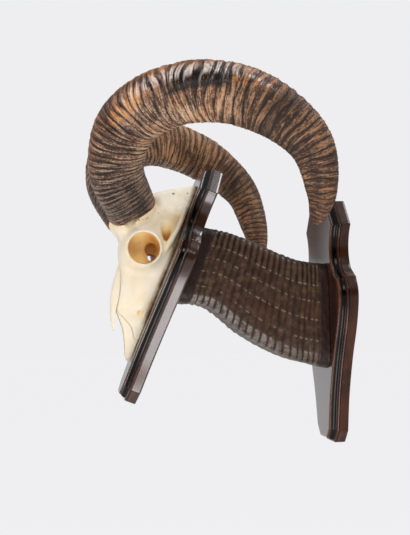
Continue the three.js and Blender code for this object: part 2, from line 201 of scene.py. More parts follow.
def add_piece(name, points, faces, caps=(), marks=None, sharp=None):
    """Mesh object from points in millimetres, four-cornered faces and flat many-cornered caps,
    turned outward by the sign of the volume it closes, with values stored per point."""
    a, b, c, d = (points[faces[:, k]] for k in range(4))
    volume = np.einsum("ij,ij->i", a, np.cross(b, c) + np.cross(c, d)).sum()
    for cap in caps:
        fan = points[cap]
        volume += (np.cross(fan[1:-1], fan[2:]) @ fan[0]).sum()
    if volume < 0:
        faces = faces[:, ::-1]
        caps = [cap[::-1] for cap in caps]
    sizes = np.concatenate([np.full(len(faces), 4), [len(cap) for cap in caps]]).astype(np.int32)
    corners = np.concatenate([faces.ravel(), *caps]).astype(np.int32)
    mesh = bpy.data.meshes.new(name)
    mesh.vertices.add(len(points))
    mesh.vertices.foreach_set("co", (points * MILLIMETRE).astype(np.float32).ravel())
    mesh.loops.add(len(corners))
    mesh.loops.foreach_set("vertex_index", corners)
    mesh.polygons.add(len(sizes))
    mesh.polygons.foreach_set("loop_start", np.concatenate([[0], np.cumsum(sizes)[:-1]]).astype(np.int32))
    for mark, values in (marks or {}).items():
        is_vector = np.size(values) == 3 * len(points)
        kind, field = ("FLOAT_VECTOR", "vector") if is_vector else ("FLOAT", "value")
        data = mesh.attributes.new(mark, kind, "POINT").data
        data.foreach_set(field, np.asarray(values, np.float32).ravel())
    mesh.update(calc_edges=True)
    mesh.validate()
    mesh.shade_smooth()
    if sharp:
        mesh.set_sharp_from_angle(angle=math.radians(sharp))
    return put_in_scene(name, mesh)


def add_tube(name, grid, marks=None, sharp=None):
    """A piece skinned over a grid of points whose columns go all the way round: a four-cornered
    face between each two neighbours in two neighbouring rows, and a flat cap on the first row and
    the last."""
    rows, columns = grid.shape[:2]
    i, j = np.meshgrid(np.arange(rows - 1), np.arange(columns), indexing="ij")
    k, i = (j + 1) % columns, i * columns
    faces = np.stack([i + j, i + k, i + columns + k, i + columns + j], axis=-1)
    caps = [np.arange(columns)[::-1], np.arange(columns) + (rows - 1) * columns]
    return add_piece(name, grid.reshape(-1, 3), faces.reshape(-1, 4), caps, marks, sharp)


def fit_piece(piece, node, finish):
    """The piece takes its finish, rides on the trophy and stands for its CAD node."""
    piece.data.materials.clear()
    piece.data.materials.append(finish)
    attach(piece, "root")
    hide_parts(node)


class Socket:
    """One output among a finish's nodes, or none yet. Arithmetic on it adds Math nodes beside it."""

    def __init__(self, tree, output=None):
        self.tree = tree
        self.output = output

    def node(self, kind, settings, inputs, output=0):
        """Adds a node: its settings first, then the values or links of its sockets."""
        made = self.tree.nodes.new("ShaderNode" + kind)
        for name, setting in settings.items():
            if name == "stops":
                ramp = made.color_ramp.elements
                while len(ramp) < len(setting):
                    ramp.new(0.5)
                for element, (place, colour) in zip(ramp, setting):
                    element.position = place
                    element.color = (*colour, 1.0)
            else:
                setattr(made, name, setting)
        for name, value in inputs.items():
            if isinstance(value, Socket):
                self.tree.links.new(value.output, made.inputs[name])
            elif made.inputs[name].type == "RGBA":
                made.inputs[name].default_value = (*value, 1.0)
            else:
                made.inputs[name].default_value = value
        return Socket(self.tree, made.outputs[output])

    def math(self, operation, *others):
        """A Math node on this value and any others."""
        values = dict(enumerate((self, *others)))
        return self.node("Math", {"operation": operation}, values)

    def __add__(self, other):
        return self.math("ADD", other)

    def __sub__(self, other):
        return self.math("SUBTRACT", other)

    def __mul__(self, other):
        return self.math("MULTIPLY", other)

    def __rsub__(self, other):
        return self.node("Math", {"operation": "SUBTRACT"}, {0: other, 1: self})

    __radd__ = __add__
    __rmul__ = __mul__

    def step(self, low, high, out_low=0.0, out_high=1.0):
        """Eased rise from one value to another as this one goes from low to high."""
        return self.node("MapRange", {"interpolation_type": "SMOOTHSTEP"}, {
            "Value": self, "From Min": low, "From Max": high, "To Min": out_low, "To Max": out_high})

    def band(self, low, full, until, high):
        """Eased rise from 0 to 1 between low and full, and fall back to 0 between until and high."""
        return self.step(low, full) * self.step(high, until)

    def over(self, under, amount):
        """This varying colour laid over another by an amount."""
        return self.node("Mix", {"data_type": "RGBA"}, {0: amount, 6: under, 7: self}, output=2)

    def stained(self, rgb, amount):
        """This colour with one plain colour laid over it by an amount."""
        return self.node("Mix", {"data_type": "RGBA"}, {0: amount, 6: self, 7: rgb}, output=2)

    def mark(self, name, output="Fac"):
        """A value stored on the mesh's points."""
        return self.node("Attribute", {"attribute_name": name}, {}, output=output)

    def place(self):
        """Object coordinates in metres."""
        return self.node("TexCoord", {}, {}, output="Object")

    def noise(self, scale, detail=3.0, roughness=0.55, distortion=0.0):
        """Noise at this place, fine by a scale or by one for each direction."""
        if isinstance(scale, tuple):
            stretched = self.node("VectorMath", {"operation": "MULTIPLY"}, {0: self, 1: scale})
            return stretched.noise(1.0, detail, roughness, distortion)
        return self.node("TexNoise", {}, {"Vector": self, "Scale": scale, "Detail": detail,
                                          "Roughness": roughness, "Distortion": distortion})

    def ramp(self, *stops):
        """Colour read off a scale of stops by this value."""
        return self.node("ValToRGB", {"stops": stops}, {"Fac": self})

    def bump(self, height, distance, strength=1.0, under=None):
        """Relief of a height in metres, laid over any relief under it."""
        inputs = {"Height": height, "Distance": distance, "Strength": strength}
        if under is not None:
            inputs["Normal"] = under
        return self.node("Bump", {}, inputs)

    def feed(self, **varying):
        """Links what varies over the surface to the finish's shader."""
        shader = self.tree.nodes["Principled BSDF"]
        for socket, value in varying.items():
            self.tree.links.new(value.output, shader.inputs[socket.replace("_", " ")])


def new_finish(name, **constants):
    """A material with its fixed numbers set on the shader, and what makes the sockets that vary."""
    material = bpy.data.materials.new(name)
    material.use_nodes = True
    shader = material.node_tree.nodes["Principled BSDF"]
    for socket, value in constants.items():
        shader.inputs[socket.replace("_", " ")].default_value = value
    return material, Socket(material.node_tree)


# Stained and varnished hardwood: fine dark grain with small pores, redder where it is rubbed, and the cove
# painted black as shade.
shield_finish, paint = new_finish("stained_shield_wood", IOR=1.5, Specular_IOR_Level=0.1,
                                  Coat_Roughness=0.18)
board, cove = paint.mark("board", "Vector"), paint.mark("cove")
figure = board.noise((40, 9, 40), 4.0, 0.6, 0.6)
pores = board.noise((1100, 160, 900), 2.0, 0.6)
rubbed = paint.mark("rubbed") * board.noise((130, 50, 130), 3.0).step(0.3, 0.62, 0.4, 1.0)
chips = board.noise((420, 420, 420), 2.0).step(0.68, 0.72) * paint.mark("rubbed")
stain = figure.ramp((0.3, (0.013, 0.0045, 0.0022)), (0.52, (0.027, 0.0092, 0.0045)),
                    (0.75, (0.07, 0.021, 0.009)))
stain = stain.stained((0.007, 0.003, 0.002), pores.step(0.6, 0.72, 0.0, 0.5))
stain = stain.stained((0.1, 0.036, 0.019), rubbed * 0.85)
stain = stain.stained((0.4, 0.32, 0.22), chips * 0.7)
# The cove is painted nearly black as shade, and the scratched line is darkened with it.
stain = stain.stained((0.0012, 0.0008, 0.0006), cove)
paint.feed(Base_Color=stain, Roughness=0.26 - cove * 0.06,
           Coat_Weight=(0.95 - cove * 0.7) * paint.mark("varnish"),
           Normal=paint.bump(pores.step(0.6, 0.75), 0.00006, 0.3))


def on_wall(points):
    """Board coordinates x, z and height to the trophy's frame: the back face lies on the wall."""
    return np.stack([points[..., 0], -points[..., 2], points[..., 1]], axis=-1)


def on_skull_board(points):
    """Skull coordinates x, s up the leaning board from its foot and n out of its front, to the
    trophy's frame: s and n turned by the lean about the foot."""
    x, s, n = np.moveaxis(np.asarray(points, float), -1, 0)
    foot_y, foot_z = SKULL_BOARD_FOOT
    return np.stack([x, foot_y + s * math.sin(LEAN) - n * math.cos(LEAN),
                     foot_z + s * math.cos(LEAN) + n * math.sin(LEAN)], axis=-1)


def add_board(name, hanger, handled, varnish, to_trophy):
    """One board as a piece, its points taken to the trophy's frame, with its edges as rubbed as it
    was handled. The varnish is full on the front face and as thick as it was laid elsewhere."""
    points, marks = board_mesh(hanger)
    marks["rubbed"] = marks["rubbed"] * handled
    marks["varnish"] = np.maximum(read_off(points[..., 2], SHIELD_FRONT), varnish)
    return add_tube(name, to_trophy(points), marks, sharp=40)


def on_lean(points):
    """Board coordinates to the trophy's frame for the skull's board: its front face lies on n = 0."""
    return on_skull_board(points + (0, SHIELD_HALF_HEIGHT, -SHIELD_THICKNESS))


wall_board = add_board("wall_board", hanger=True, handled=1.0, varnish=0.25, to_trophy=on_wall)
skull_board = add_board("skull_board", hanger=False, handled=0.35, varnish=1.0, to_trophy=on_lean)
fit_piece(wall_board, "wall_shield", shield_finish)
fit_piece(skull_board, "skull_shield", shield_finish)

# ---------------- hanger plate
# A small keyhole plate of brushed steel let into the back of the wall board, flush with it,
# for the one screw that the trophy hangs on.
steel_finish, paint = new_finish("hanger_steel", Metallic=1.0)
place = paint.place()
brushed = place.noise((60, 900, 2600), 2.0)
paint.feed(Base_Color=brushed.ramp((0.3, (0.34, 0.34, 0.35)), (0.7, (0.55, 0.55, 0.56))),
           Roughness=brushed.step(0.3, 0.7, 0.28, 0.45), Normal=paint.bump(brushed, 0.00005, 0.4))
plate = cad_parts["hanger_plate"]
plate.data.materials.clear()
plate.data.materials.append(steel_finish)

# ---------------- arm
# One block of hardwood between the boards, wide and flat-sided, curving up from the wall. Its whole
# skin is carved in upright flutes cut across by rows of gouge marks, sharper along the two lower
# corners. It is stained dark brown, with painted highlights on the nicks, painted shade in the grooves
# and a painted grey sheen on the lower corners, and left plain and glued at both ends, darkened there
# as painted shade.

# How far up the leaning board the arm's lower and upper edges meet its back, those edges from there
# to the wall as y and z, and the arm's half widths at the board and at the wall.
ARM_MEETS = (136, 239)
ARM_TOP = [(-143, 115.5), (-103, 98.8), (-63, 82), (-24.3, 76)]
ARM_BOTTOM = [(-175.5, 21), (-131, -14.5), (-79, -43.5), (-24.3, -59)]
ARM_HALF = (42.0, 45.0)
ARM_SQUARENESS = 0.34
ARM_ALONG, ARM_ROUND = 380, 250
JOINT_GAP = 0.3
# By share of the length: the flutes passed, which lie closer near the wall, where the arm is carved
# and how deep.
ARM_FLUTES = 23
ARM_SPREAD = [(0, 0), (0.8, 0.78), (0.93, 0.95), (1, 1.06)]
ARM_CARVED = [(0.09, 0), (0.11, 1), (0.93, 1), (0.945, 0)]
ARM_DEPTH = [(0.1, 1.0), (0.5, 0.8), (0.95, 0.55)]
# Row edges round half the section: 0 is the middle of the top, 1 to 3 the side, 4 the middle below.
ARM_ROW_EDGES = [0, 0.5, 0.98, 1.42, 1.76, 2.14, 2.58, 2.86, 3.3, 4]
# By row: how much it belongs to the lower corner and to the top. A corner's flute is a blade that
# rises over most of its width.
ARM_CORNER = [(6.8, 0), (7.05, 1), (7.8, 1), (8.6, 0)]
ARM_UPPER = [(2.75, 1), (3.15, 0)]
ARM_BLADE = 0.84


def ripple(points, wavelength, seed):
    """Soft lumps, mostly between -1 and 1: a third of the sum of six sines across the point, each
    in its own direction and near the given wavelength."""
    rng = np.random.default_rng(seed)
    total = 0.0
    for _ in range(6):
        way = rng.normal(size=3)
        way *= rng.uniform(0.7, 1.4) / np.linalg.norm(way) * 2 * np.pi / wavelength
        total = total + np.sin(points @ way + rng.uniform(0, 6.28))
    return total / 3.0


def squared(wave, power):
    """A sine or cosine raised to a low power, with its sign kept, which squares a round section."""
    return np.sign(wave) * np.abs(wave) ** power


def arm_grid(along_count, round_count):
    """The arm's points: its section is a squared circle, stretched between the lower and the upper
    edge as these run to the wall. Also the share of the length for each row of points, and the
    place round from 0 to 8 for each column."""
    ends = [on_skull_board((0, s, -SHIELD_THICKNESS - JOINT_GAP))[1:] for s in ARM_MEETS]
    u = np.linspace(0, 1, along_count)
    bottom = smooth_path(np.vstack([ends[0], ARM_BOTTOM]), u)
    top = smooth_path(np.vstack([ends[1], ARM_TOP]), u)
    angle = np.linspace(0, 2 * np.pi, 8001)
    side, rise = squared(np.sin(angle), ARM_SQUARENESS), squared(np.cos(angle), ARM_SQUARENESS)
    run = run_along(np.column_stack([side, rise]))
    even = np.linspace(0, run[-1], round_count, endpoint=False)
    side, rise = np.interp(even, run, side), np.interp(even, run, rise)
    half = np.interp(u, (0, 1), ARM_HALF)[:, None]
    up = (1 + rise)[None, :, None] / 2
    spine = bottom[:, None] + (top - bottom)[:, None] * up
    points = np.dstack([half * side, spine])
    return points, u, even / run[-1] * 8


def skin_normals(points):
    """Outward normals of a grid of points that closes round: the cross product of its differences
    along and round, turned away from each row's middle."""
    normal = np.cross(np.gradient(points, axis=0), np.roll(points, -1, 1) - np.roll(points, 1, 1))
    normal /= np.linalg.norm(normal, axis=2)[..., None] + 1e-12
    middle = points.mean(axis=1, keepdims=True)
    facing = np.sign(((points - middle) * normal).sum(axis=2).mean())
    return normal * facing


arm_points, arm_u, arm_round = arm_grid(ARM_ALONG, ARM_ROUND)
arm_normal = skin_normals(arm_points)
folded = np.where(arm_round > 4, 8 - arm_round, arm_round)
row = np.interp(folded, ARM_ROW_EDGES, np.arange(len(ARM_ROW_EDGES)))
row, u = np.meshgrid(row, arm_u)
wander = 0.1 * ripple(np.dstack([u * 6, row * 0.9, 0 * u]), 2.2, 5)
flute = read_off(u, ARM_SPREAD) * ARM_FLUTES + wander
in_flute, in_row = flute % 1, row % 1
carved, corner, upper = read_off(u, ARM_CARVED), read_off(row, ARM_CORNER), read_off(row, ARM_UPPER)
uneven = 1 + 0.35 * ripple(np.dstack([flute, row * 2, 0 * row]), 2.0, 6)
# Each flute is a rounded crown, or a blade with one steep side at the lower corner, and each row
# laps over the next like a shingle, ending in a short step.
crown = 1 - np.abs(in_flute * 2 - 1) ** 2.4
blade = np.minimum(in_flute / ARM_BLADE, (1 - in_flute) / (1 - ARM_BLADE)) ** 0.8
tile = (crown + (blade - crown) * corner) * (0.35 + np.maximum(0.9 * corner, 1.05 * upper)) * uneven
shingle = (0.35 + 0.6 * corner) * in_row * np.clip((1 - in_row) / 0.1, 0, 1) * (0.5 + 0.5 * crown)
lift = carved * read_off(u, ARM_DEPTH) * (1.25 * tile + shingle - 1.5)
lift = lift + 0.2 * ripple(arm_points, 9, 3)
arm_points = arm_points + arm_normal * lift[..., None]
# The painted grey sheen on the lower corner is strongest next to the skull's board.
near_skull = np.clip(0.3 - (arm_points[..., 1] + 70) / 100, 0.25, 1)
marks = {"flute": flute, "row": row, "carved": carved, "below": corner * near_skull,
         "fluted": 0.45 + 0.55 * np.maximum(upper, corner)}
arm = add_tube("carved_arm", arm_points, marks)

# Stained wood with painted shade in the grooves, rubbed on the crests, with painted highlights on the
# nicks between rows, a painted grey sheen along the lower corner's blades, and painted shade on the plain
# ends.
arm_finish, paint = new_finish("carved_arm_wood", IOR=1.5, Specular_IOR_Level=0.2, Coat_Roughness=0.25,
                               Coat_Weight=0.05)
place = paint.place()
flute, row, carved = paint.mark("flute"), paint.mark("row"), paint.mark("carved")
fluted, below = paint.mark("fluted"), paint.mark("below")
across_flute = flute.math("FRACT")
from_middle = (across_flute - 0.5).math("ABSOLUTE")
row_end = ((row + 0.5).math("FRACT") - 0.5).math("ABSOLUTE")
broken = place.noise(150.0, 3.0)
nick_glint = row_end.step(0.055, 0.02) * from_middle.step(0.36, 0.24) * broken.step(0.42, 0.56) * carved
flute_groove_shade = from_middle.step(0.34, 0.48) * fluted * carved
crest = from_middle.step(0.3, 0.05) * fluted * carved
mottle = place.noise(110.0, 4.0, 0.7)
blotch = place.noise(24.0, 3.0, 0.6)
fibre = place.noise((420, 420, 60), 3.0)
wood = mottle.ramp((0.3, (0.013, 0.0055, 0.0028)), (0.5, (0.034, 0.0155, 0.0075)),
                   (0.7, (0.09, 0.048, 0.026)))
wood = wood.stained((0.05, 0.018, 0.008), blotch.step(0.5, 0.68, 0.0, 0.6))
wood = wood.stained((0.075, 0.045, 0.027), crest * 0.5)
# Painted shade in the grooves of the flutes.
wood = wood.stained((0.006, 0.003, 0.0018), flute_groove_shade * 0.85)
# A painted highlight on the nick at each row's end.
wood = wood.stained((0.24, 0.2, 0.155), nick_glint * 0.5)
# A painted grey sheen on the lower corner's blades.
bevel = across_flute.band(0.12, 0.3, 0.86, 0.97) * broken.step(0.3, 0.6, 0.3, 1.0)
wood = wood.stained((0.3, 0.275, 0.255), below * bevel * mottle.step(0.3, 0.62) * carved * 0.62)
# The plain ends by the boards are darkened as painted shade.
wood = wood.stained((0.013, 0.0045, 0.0028), (1 - carved) * 0.9)
paint.feed(Base_Color=wood, Roughness=mottle.step(0.3, 0.7, 0.42, 0.6),
           Normal=paint.bump(fibre, 0.0003, 0.5, paint.bump(mottle, 0.0014, 0.7)))
fit_piece(arm, "arm", arm_finish)

# ---------------- horns
# Two hollow sheaths of keratin on their bone cores, each curling up, back and down in one open
# turn. Growth lays them down in thick rounded rings, closest at the root, with fine lines between;
# they are grey brown at the root, polished dark amber over the crown and dry and paler at the tip.

# Across, up the board and out of it, and the radius, at stations along the centre line.
HORN_COMMON = [
    (31.9, 221.3, 65.6, 31), (62.1, 261, 105.2, 33.4), (99.2, 310.5, 111.5, 35.6),
    (139.6, 346.3, 82.2, 35.1), (174.8, 365.8, 34.2, 34.2), (196.6, 366.9, -24.4, 32.1),
    (203.1, 345.8, -84.6, 25.4),
]
# The left horn's tip is worn short; the right one, here mirrored to the left, is longer.
HORN_ENDS = {"left": [(193.5, 302.5, -118.5, 17.6), (172, 267.5, -129.5, 7)],
             "right": [(191, 301, -120.5, 20), (175.5, 263.5, -136.5, 13), (160, 245, -138, 6)]}
# The section's width as a share of its height, and how far it is pressed toward three flat sides.
HORN_NARROW = 0.8
HORN_THREE_SIDED = 0.07
# The middle of the curl, the counts of points along and round, the power that crowds the points
# toward the tip, and the length of the tip's dome.
HORN_CURL = (0, 300, -10)
HORN_ALONG, HORN_ROUND = 900, 96
HORN_CROWDING = 1.15
HORN_TIP_DOME = 11.0
# At shares of the length: the distance from one growth ring to the next, and how high they stand.
HORN_PITCH = [(0, 5), (0.05, 5.5), (0.14, 6.5), (0.28, 8.5), (0.45, 10.5), (0.62, 11), (0.78, 9),
              (0.9, 6.5), (1, 4.5)]
HORN_RELIEF = [(0, 1.0), (0.06, 1.3), (0.16, 1.8), (0.3, 2.4), (0.5, 2.6), (0.7, 1.7), (0.85, 1.0),
               (0.95, 0.7), (1, 0.2)]
# Where round the section the rings stand highest, as a cosine with its spread: the outer front.
HORN_RIDGE = (0.4, 0.36)


def horn_line(rows, count):
    """Points, radii, distance from the root and the onward, outward and sideways directions of a
    horn's centre line, a little closer together toward the tip, with outward pointing away from the
    middle of the curl. The radius closes over the last stretch as a circle does."""
    fine = smooth_path(rows, np.linspace(0, 1, 2400))
    run = run_along(fine[:, :3])
    distance = run[-1] * (1 - (1 - np.linspace(0, 1, count)) ** HORN_CROWDING)
    line = np.column_stack([np.interp(distance, run, fine[:, k]) for k in range(4)])
    centre, radius = line[:, :3], line[:, 3]
    past = np.clip((distance - run[-1] + HORN_TIP_DOME) / HORN_TIP_DOME, 0, 0.999)
    radius = radius * np.sqrt(1 - past**2)
    onward = np.gradient(centre, axis=0)
    onward /= np.linalg.norm(onward, axis=1)[:, None]
    outward = (centre - HORN_CURL) * (0, 1, 1)
    outward -= onward * (outward * onward).sum(axis=1)[:, None]
    outward /= np.linalg.norm(outward, axis=1)[:, None]
    return centre, radius, distance, onward, outward, np.cross(onward, outward)


def horn_mesh(rows, seed):
    """A horn's grid of points and its marks: its three-sided section carried along the line, lifted
    by rounded growth rings that are wide over the crown and close again toward the tip, by finer
    rings and hair lines between them and by slow lumps, with a wavy lower edge."""
    centre, radius, distance, onward, outward, sideways = horn_line(rows, HORN_ALONG)
    angle = np.linspace(0, 2 * np.pi, HORN_ROUND, endpoint=False)
    cos, sin = np.cos(angle), np.sin(angle)
    grown = distance / distance[-1]
    count = np.cumsum(np.gradient(distance) / read_off(grown, HORN_PITCH))[:, None]
    relief = read_off(grown, HORN_RELIEF)[:, None]
    t, along, radius = grown[:, None], distance[:, None], radius[:, None]
    wrapped = np.dstack(np.broadcast_arrays(along / 20.0, cos, sin))
    wander = 0.3 * ripple(wrapped, 1.9, seed) + 0.12 * ripple(wrapped * (3, 1, 1), 1.1, seed + 1)
    phase = count + wander - 0.3 * (1 - cos) * (1 - t)
    swell = np.abs(np.sin(np.pi * phase)) ** 0.8
    ridge = np.exp(-((cos - HORN_RIDGE[0]) / HORN_RIDGE[1]) ** 2)
    reach = np.clip(0.36 + 0.1 * cos + 0.6 * ridge, 0, 1.2)
    height = relief * reach * (0.85 + 0.4 * ripple(wrapped, 2.6, seed + 2))
    minor = np.abs(np.sin(np.pi * (phase * 2.3 + 0.35 * ripple(wrapped * (2, 1, 1), 1.2, seed + 3))))
    hair = np.sin(2 * np.pi * (phase * 4.1 + 0.6 * ripple(wrapped * (3, 1, 1), 0.9, seed + 4)))
    lift = height * (swell - 0.8) + 0.75 * (1 - 0.6 * ridge) * (minor - 0.7) + 0.2 * hair
    lift = lift + 0.45 * ripple(wrapped, 3.4, seed + 5) * (radius / 34)
    lift = lift + 0.25 * ripple(wrapped * (2.2, 3, 3), 1.6, seed + 6) * (radius / 34)
    lift = lift - 1.6 * np.exp(-along / 0.9) + 0.8 * np.exp(-along / 5)
    keel = 0.02 * np.exp(-((cos - 0.62) / 0.2) ** 2) * (1 - 0.6 * t)
    scaled = radius * (1 - HORN_THREE_SIDED * np.cos(3 * angle) + keel)
    scaled = scaled + lift * np.clip(radius / 9, 0, 1)
    hem = (1.3 + 1.3 * ripple(wrapped * (0, 1.3, 1.3), 1.9, seed + 7)) * np.exp(-along / 9)
    points = (centre[:, None] + outward[:, None] * (scaled * cos)[..., None]
              + sideways[:, None] * (scaled * sin * HORN_NARROW)[..., None]
              + onward[:, None] * np.maximum(hem, 0)[..., None])
    wound = wrapped[..., 0] * 0.02 + 0.003 * (wander - 0.3 * (1 - cos))
    marks = {"coil": np.dstack([wound, wrapped[..., 1], wrapped[..., 2]]),
             "swell": 0.65 * swell + 0.35 * minor,
             "grown": np.broadcast_to(t, swell.shape),
             "ribbed": np.broadcast_to(ridge, swell.shape)}
    return points, marks


# Keratin in strokes that run round the horn: streaks and threads across its length, specks, and
# slow clouds. Their sum is a tone, and each stretch of the horn reads its own colours off it.
horn_finish, paint = new_finish("horn_sheath", IOR=1.5, Specular_IOR_Level=0.35, Coat_Roughness=0.14)
coil, swell = paint.mark("coil", "Vector"), paint.mark("swell")
grown, ribbed = paint.mark("grown"), paint.mark("ribbed")
outer = paint.node("SeparateXYZ", {}, {"Vector": coil}, output=1)
lateral = paint.node("SeparateXYZ", {}, {"Vector": coil}, output=2)
streak = coil.noise((330, 1.1, 1.1), 4.0, 0.65, 0.4)
thread = coil.noise((900, 2.2, 2.2), 3.0, 0.65, 0.3)
patch = coil.noise((30, 1.4, 1.4), 3.0, 0.55)
cloudy = coil.noise((11, 0.9, 0.9), 2.0, 0.5)
speck = paint.place().noise(380.0, 4.0, 0.8)
tone = swell * 0.27 + streak * 0.42 + thread * 0.46 + speck * 0.6 + cloudy * 0.3 + patch * 0.2
tone = (tone - 0.635) + grown.band(0.22, 0.34, 0.5, 0.62) * 0.022

# Grey brown at the root, warmer with growth, redder on the outer curve, and orange brown on the inner side,
# lightened there as painted light to lift its shade.
sheath = tone.ramp((0.39, (0.008, 0.004, 0.0026)), (0.48, (0.04, 0.0185, 0.0105)),
                   (0.56, (0.13, 0.067, 0.038)), (0.69, (0.54, 0.355, 0.23)))
rind = tone.ramp((0.39, (0.01, 0.004, 0.002)), (0.51, (0.065, 0.021, 0.0075)), (0.69, (0.42, 0.175, 0.062)))
sheath = rind.over(sheath, outer.step(0.4, 0.8) * grown.step(0.08, 0.2))
warm = coil.noise((38, 1.8, 1.8), 3.0, 0.5).step(0.48, 0.62)
sheath = rind.over(sheath, warm * grown.step(0.15, 0.3) * 0.55)
root = tone.ramp((0.39, (0.006, 0.004, 0.0028)), (0.51, (0.034, 0.0205, 0.014)), (0.69, (0.25, 0.165, 0.115)))
sheath = root.over(sheath, grown.step(0.22, 0.06))
medial_painted_light = tone.ramp((0.34, (0.036, 0.015, 0.0065)), (0.51, (0.095, 0.04, 0.0155)), (0.7, (0.46, 0.235, 0.1)))
# The inner side is lightened as painted light, over its own orange brown.
sheath = medial_painted_light.over(sheath, lateral.step(-0.1, -0.6, 0.0, 0.85) * grown.step(0.1, 0.3))

# Past the crown: dark and dry, greyed on the inner side, reddish on the curve's edges, with a few
# black stripes, and plainer toward the tip.
late = tone.ramp((0.33, (0.016, 0.0075, 0.004)), (0.51, (0.036, 0.0145, 0.0068)), (0.7, (0.27, 0.135, 0.065)))
sheath = late.over(sheath, grown.step(0.52, 0.66) * lateral.step(-0.5, 0.0, 0.25, 0.85))
sheath = rind.over(sheath, outer.step(0.45, 0.8) * grown.step(0.6, 0.7) * 0.6)
greyed = lateral.step(-0.4, -0.8) * grown.step(0.6, 0.7) * tone.step(0.62, 0.5, 0.3, 0.8)
sheath = sheath.stained((0.07, 0.04, 0.028), greyed * 0.6)
edges = outer.math("ABSOLUTE").step(0.5, 0.85) * lateral.step(0.0, -0.3) * grown.step(0.5, 0.65)
sheath = rind.over(sheath, edges * 0.7)
stripe = coil.noise((55, 0.35, 0.35), 2.0).step(0.52, 0.6)
sheath = sheath.stained((0.01, 0.0055, 0.0035), stripe * grown.band(0.64, 0.7, 0.8, 0.86) * 0.6)
tip = tone.ramp((0.33, (0.023, 0.0095, 0.0045)), (0.52, (0.05, 0.02, 0.0085)), (0.72, (0.28, 0.135, 0.06)))
sheath = tip.over(sheath, grown.step(0.84, 0.93))

# The outer front of the crown is rubbed to a polish: amber, then black, with painted highlights on its rings.
facing = lateral.step(-0.5, 0.1, 0.2, 1.0)
where = grown + patch * 0.16 - 0.08
polished = (ribbed * where.band(0.24, 0.32, 0.6, 0.74) * facing).step(0.35, 0.8)
glow = (patch * 0.55 + swell * 0.25 + tone * 0.3).ramp(
    (0.46, (0.012, 0.0045, 0.0025)), (0.56, (0.06, 0.017, 0.005)), (0.64, (0.2, 0.06, 0.012)),
    (0.74, (0.5, 0.22, 0.045)))
sheath = glow.over(sheath, polished * thread.step(0.3, 0.55) * 0.8)
crown = where.band(0.4, 0.46, 0.55, 0.63) * facing
black = outer.band(-0.12, 0.08, 0.5, 0.85) * crown
sheath = sheath.stained((0.007, 0.0035, 0.0025), black * tone.step(0.8, 0.6, 0.6, 0.96))
painted_ring_highlight = swell.step(0.62, 0.85) * outer.band(0.32, 0.5, 0.7, 0.85)
painted_ring_highlight = painted_ring_highlight * where.band(0.3, 0.4, 0.54, 0.64) * facing
# Painted highlights on the crests of the rings.
sheath = sheath.stained((0.62, 0.52, 0.46), painted_ring_highlight * speck.step(0.35, 0.6, 0.4, 0.9))

# Darker between the rings, a scorched rim where the sheath meets the bone, and less relief where the
# horn is polished.
sheath = sheath.stained((0.008, 0.004, 0.0025), swell.step(0.46, 0.16) * 0.8)
rim = grown.step(0.016, 0.006) * coil.noise((40, 3, 3), 2.0).step(0.4, 0.6)
sheath = sheath.stained((0.3, 0.12, 0.07), rim * 0.6)
worn = 1 - polished * 0.7
relief = paint.bump(streak * worn, 0.0012, 0.8)
relief = paint.bump(thread * worn, 0.0009, 0.8, relief)
relief = paint.bump(speck * worn, 0.0012, 0.8, relief)
paint.feed(Base_Color=sheath, Roughness=speck.step(0.35, 0.65, 0.45, 0.65) - polished * 0.28,
           Coat_Weight=polished * 0.7, Normal=relief)

for side, name, seed in ((1, "left", 11), (-1, "right", 41)):
    horn_points, marks = horn_mesh(HORN_COMMON + HORN_ENDS[name], seed)
    sheathed = add_tube(f"horn_{name}_sheath", on_skull_board(horn_points * (side, 1, 1)), marks)
    fit_piece(sheathed, f"horn_{name}", horn_finish)

# ---------------- cranium
# The bone of the skull from the upper jaw to the nape, cleaned, whitened and left unvarnished.
# Its lower side is cut flat and glued to the board. Both eye sockets, the passage between them,
# the hollows behind them with their cheek arches and the nose opening are open.

# Sections of its two arched bodies: place up the board, half width, height, and how squared.
FACE = [
    (38, 5, 23, 0.8), (47, 7.8, 28, 0.8), (53, 9.6, 30, 0.8), (62, 12, 34, 0.8), (70, 13.6, 36, 0.8),
    (80, 16, 38, 0.8), (90, 18.6, 39.5, 0.8), (104, 23.5, 42, 0.8), (124, 30, 45, 0.8),
    (141, 34.5, 49.5, 0.85), (156, 38, 55.5, 0.85), (170, 44.5, 59, 0.75), (184, 49, 63, 0.68),
    (197, 50, 68, 0.66), (210, 48, 66, 0.7), (224, 43, 60, 0.75), (236, 36, 50, 0.8),
]
BRAINCASE = [
    (188, 26, 66, 0.8), (202, 32, 80, 0.85), (218, 34, 77, 0.9), (236, 34.5, 67, 0.9),
    (252, 34, 55, 0.9), (264, 33, 42, 0.95), (274, 31, 26, 0.95), (282, 27, 12, 0.9), (286, 22, 5, 0.9),
]
# The orbit's middle, and its outer and inner radii at distances from the skull's middle.
ORBIT = (184.5, 36.6)
ORBIT_RIM = [(0, 28), (30, 28), (44, 26.4), (51, 24.4), (54.5, 22.8), (56.5, 21.4)]
ORBIT_SOCKET = [(0, -20), (20, 0), (22, 9), (31, 17), (44, 20.3), (52, 19.4), (55, 19.7), (60, 21.5)]
# The passage between the two orbits: its middle, radius and how far out it reaches.
PASSAGE, PASSAGE_RADIUS, PASSAGE_REACH = (179, 22.6), 4.6, 38
# The hollow behind the orbit widens upward from a deep point: places and radii along it.
HOLLOW = [
    (52, 205.5, 15, 2.6), (52, 211, 16.6, 5), (52, 218, 18.9, 8), (54, 230, 21.8, 13.8), (58, 246, 26, 22),
]
HOLLOW_DEEP = 15.0
# The arch of the cheek, from below the orbit back to the braincase.
CHEEK_ARCH = [
    (47, 185, 14), (52, 196, 10.6), (53, 206, 8.9), (52, 216, 7.4), (49.5, 227, 5.6), (44, 239, 4.4),
    (34, 249, 4),
]
CHEEK_RADII = (2.9, 3.4, 3.6)
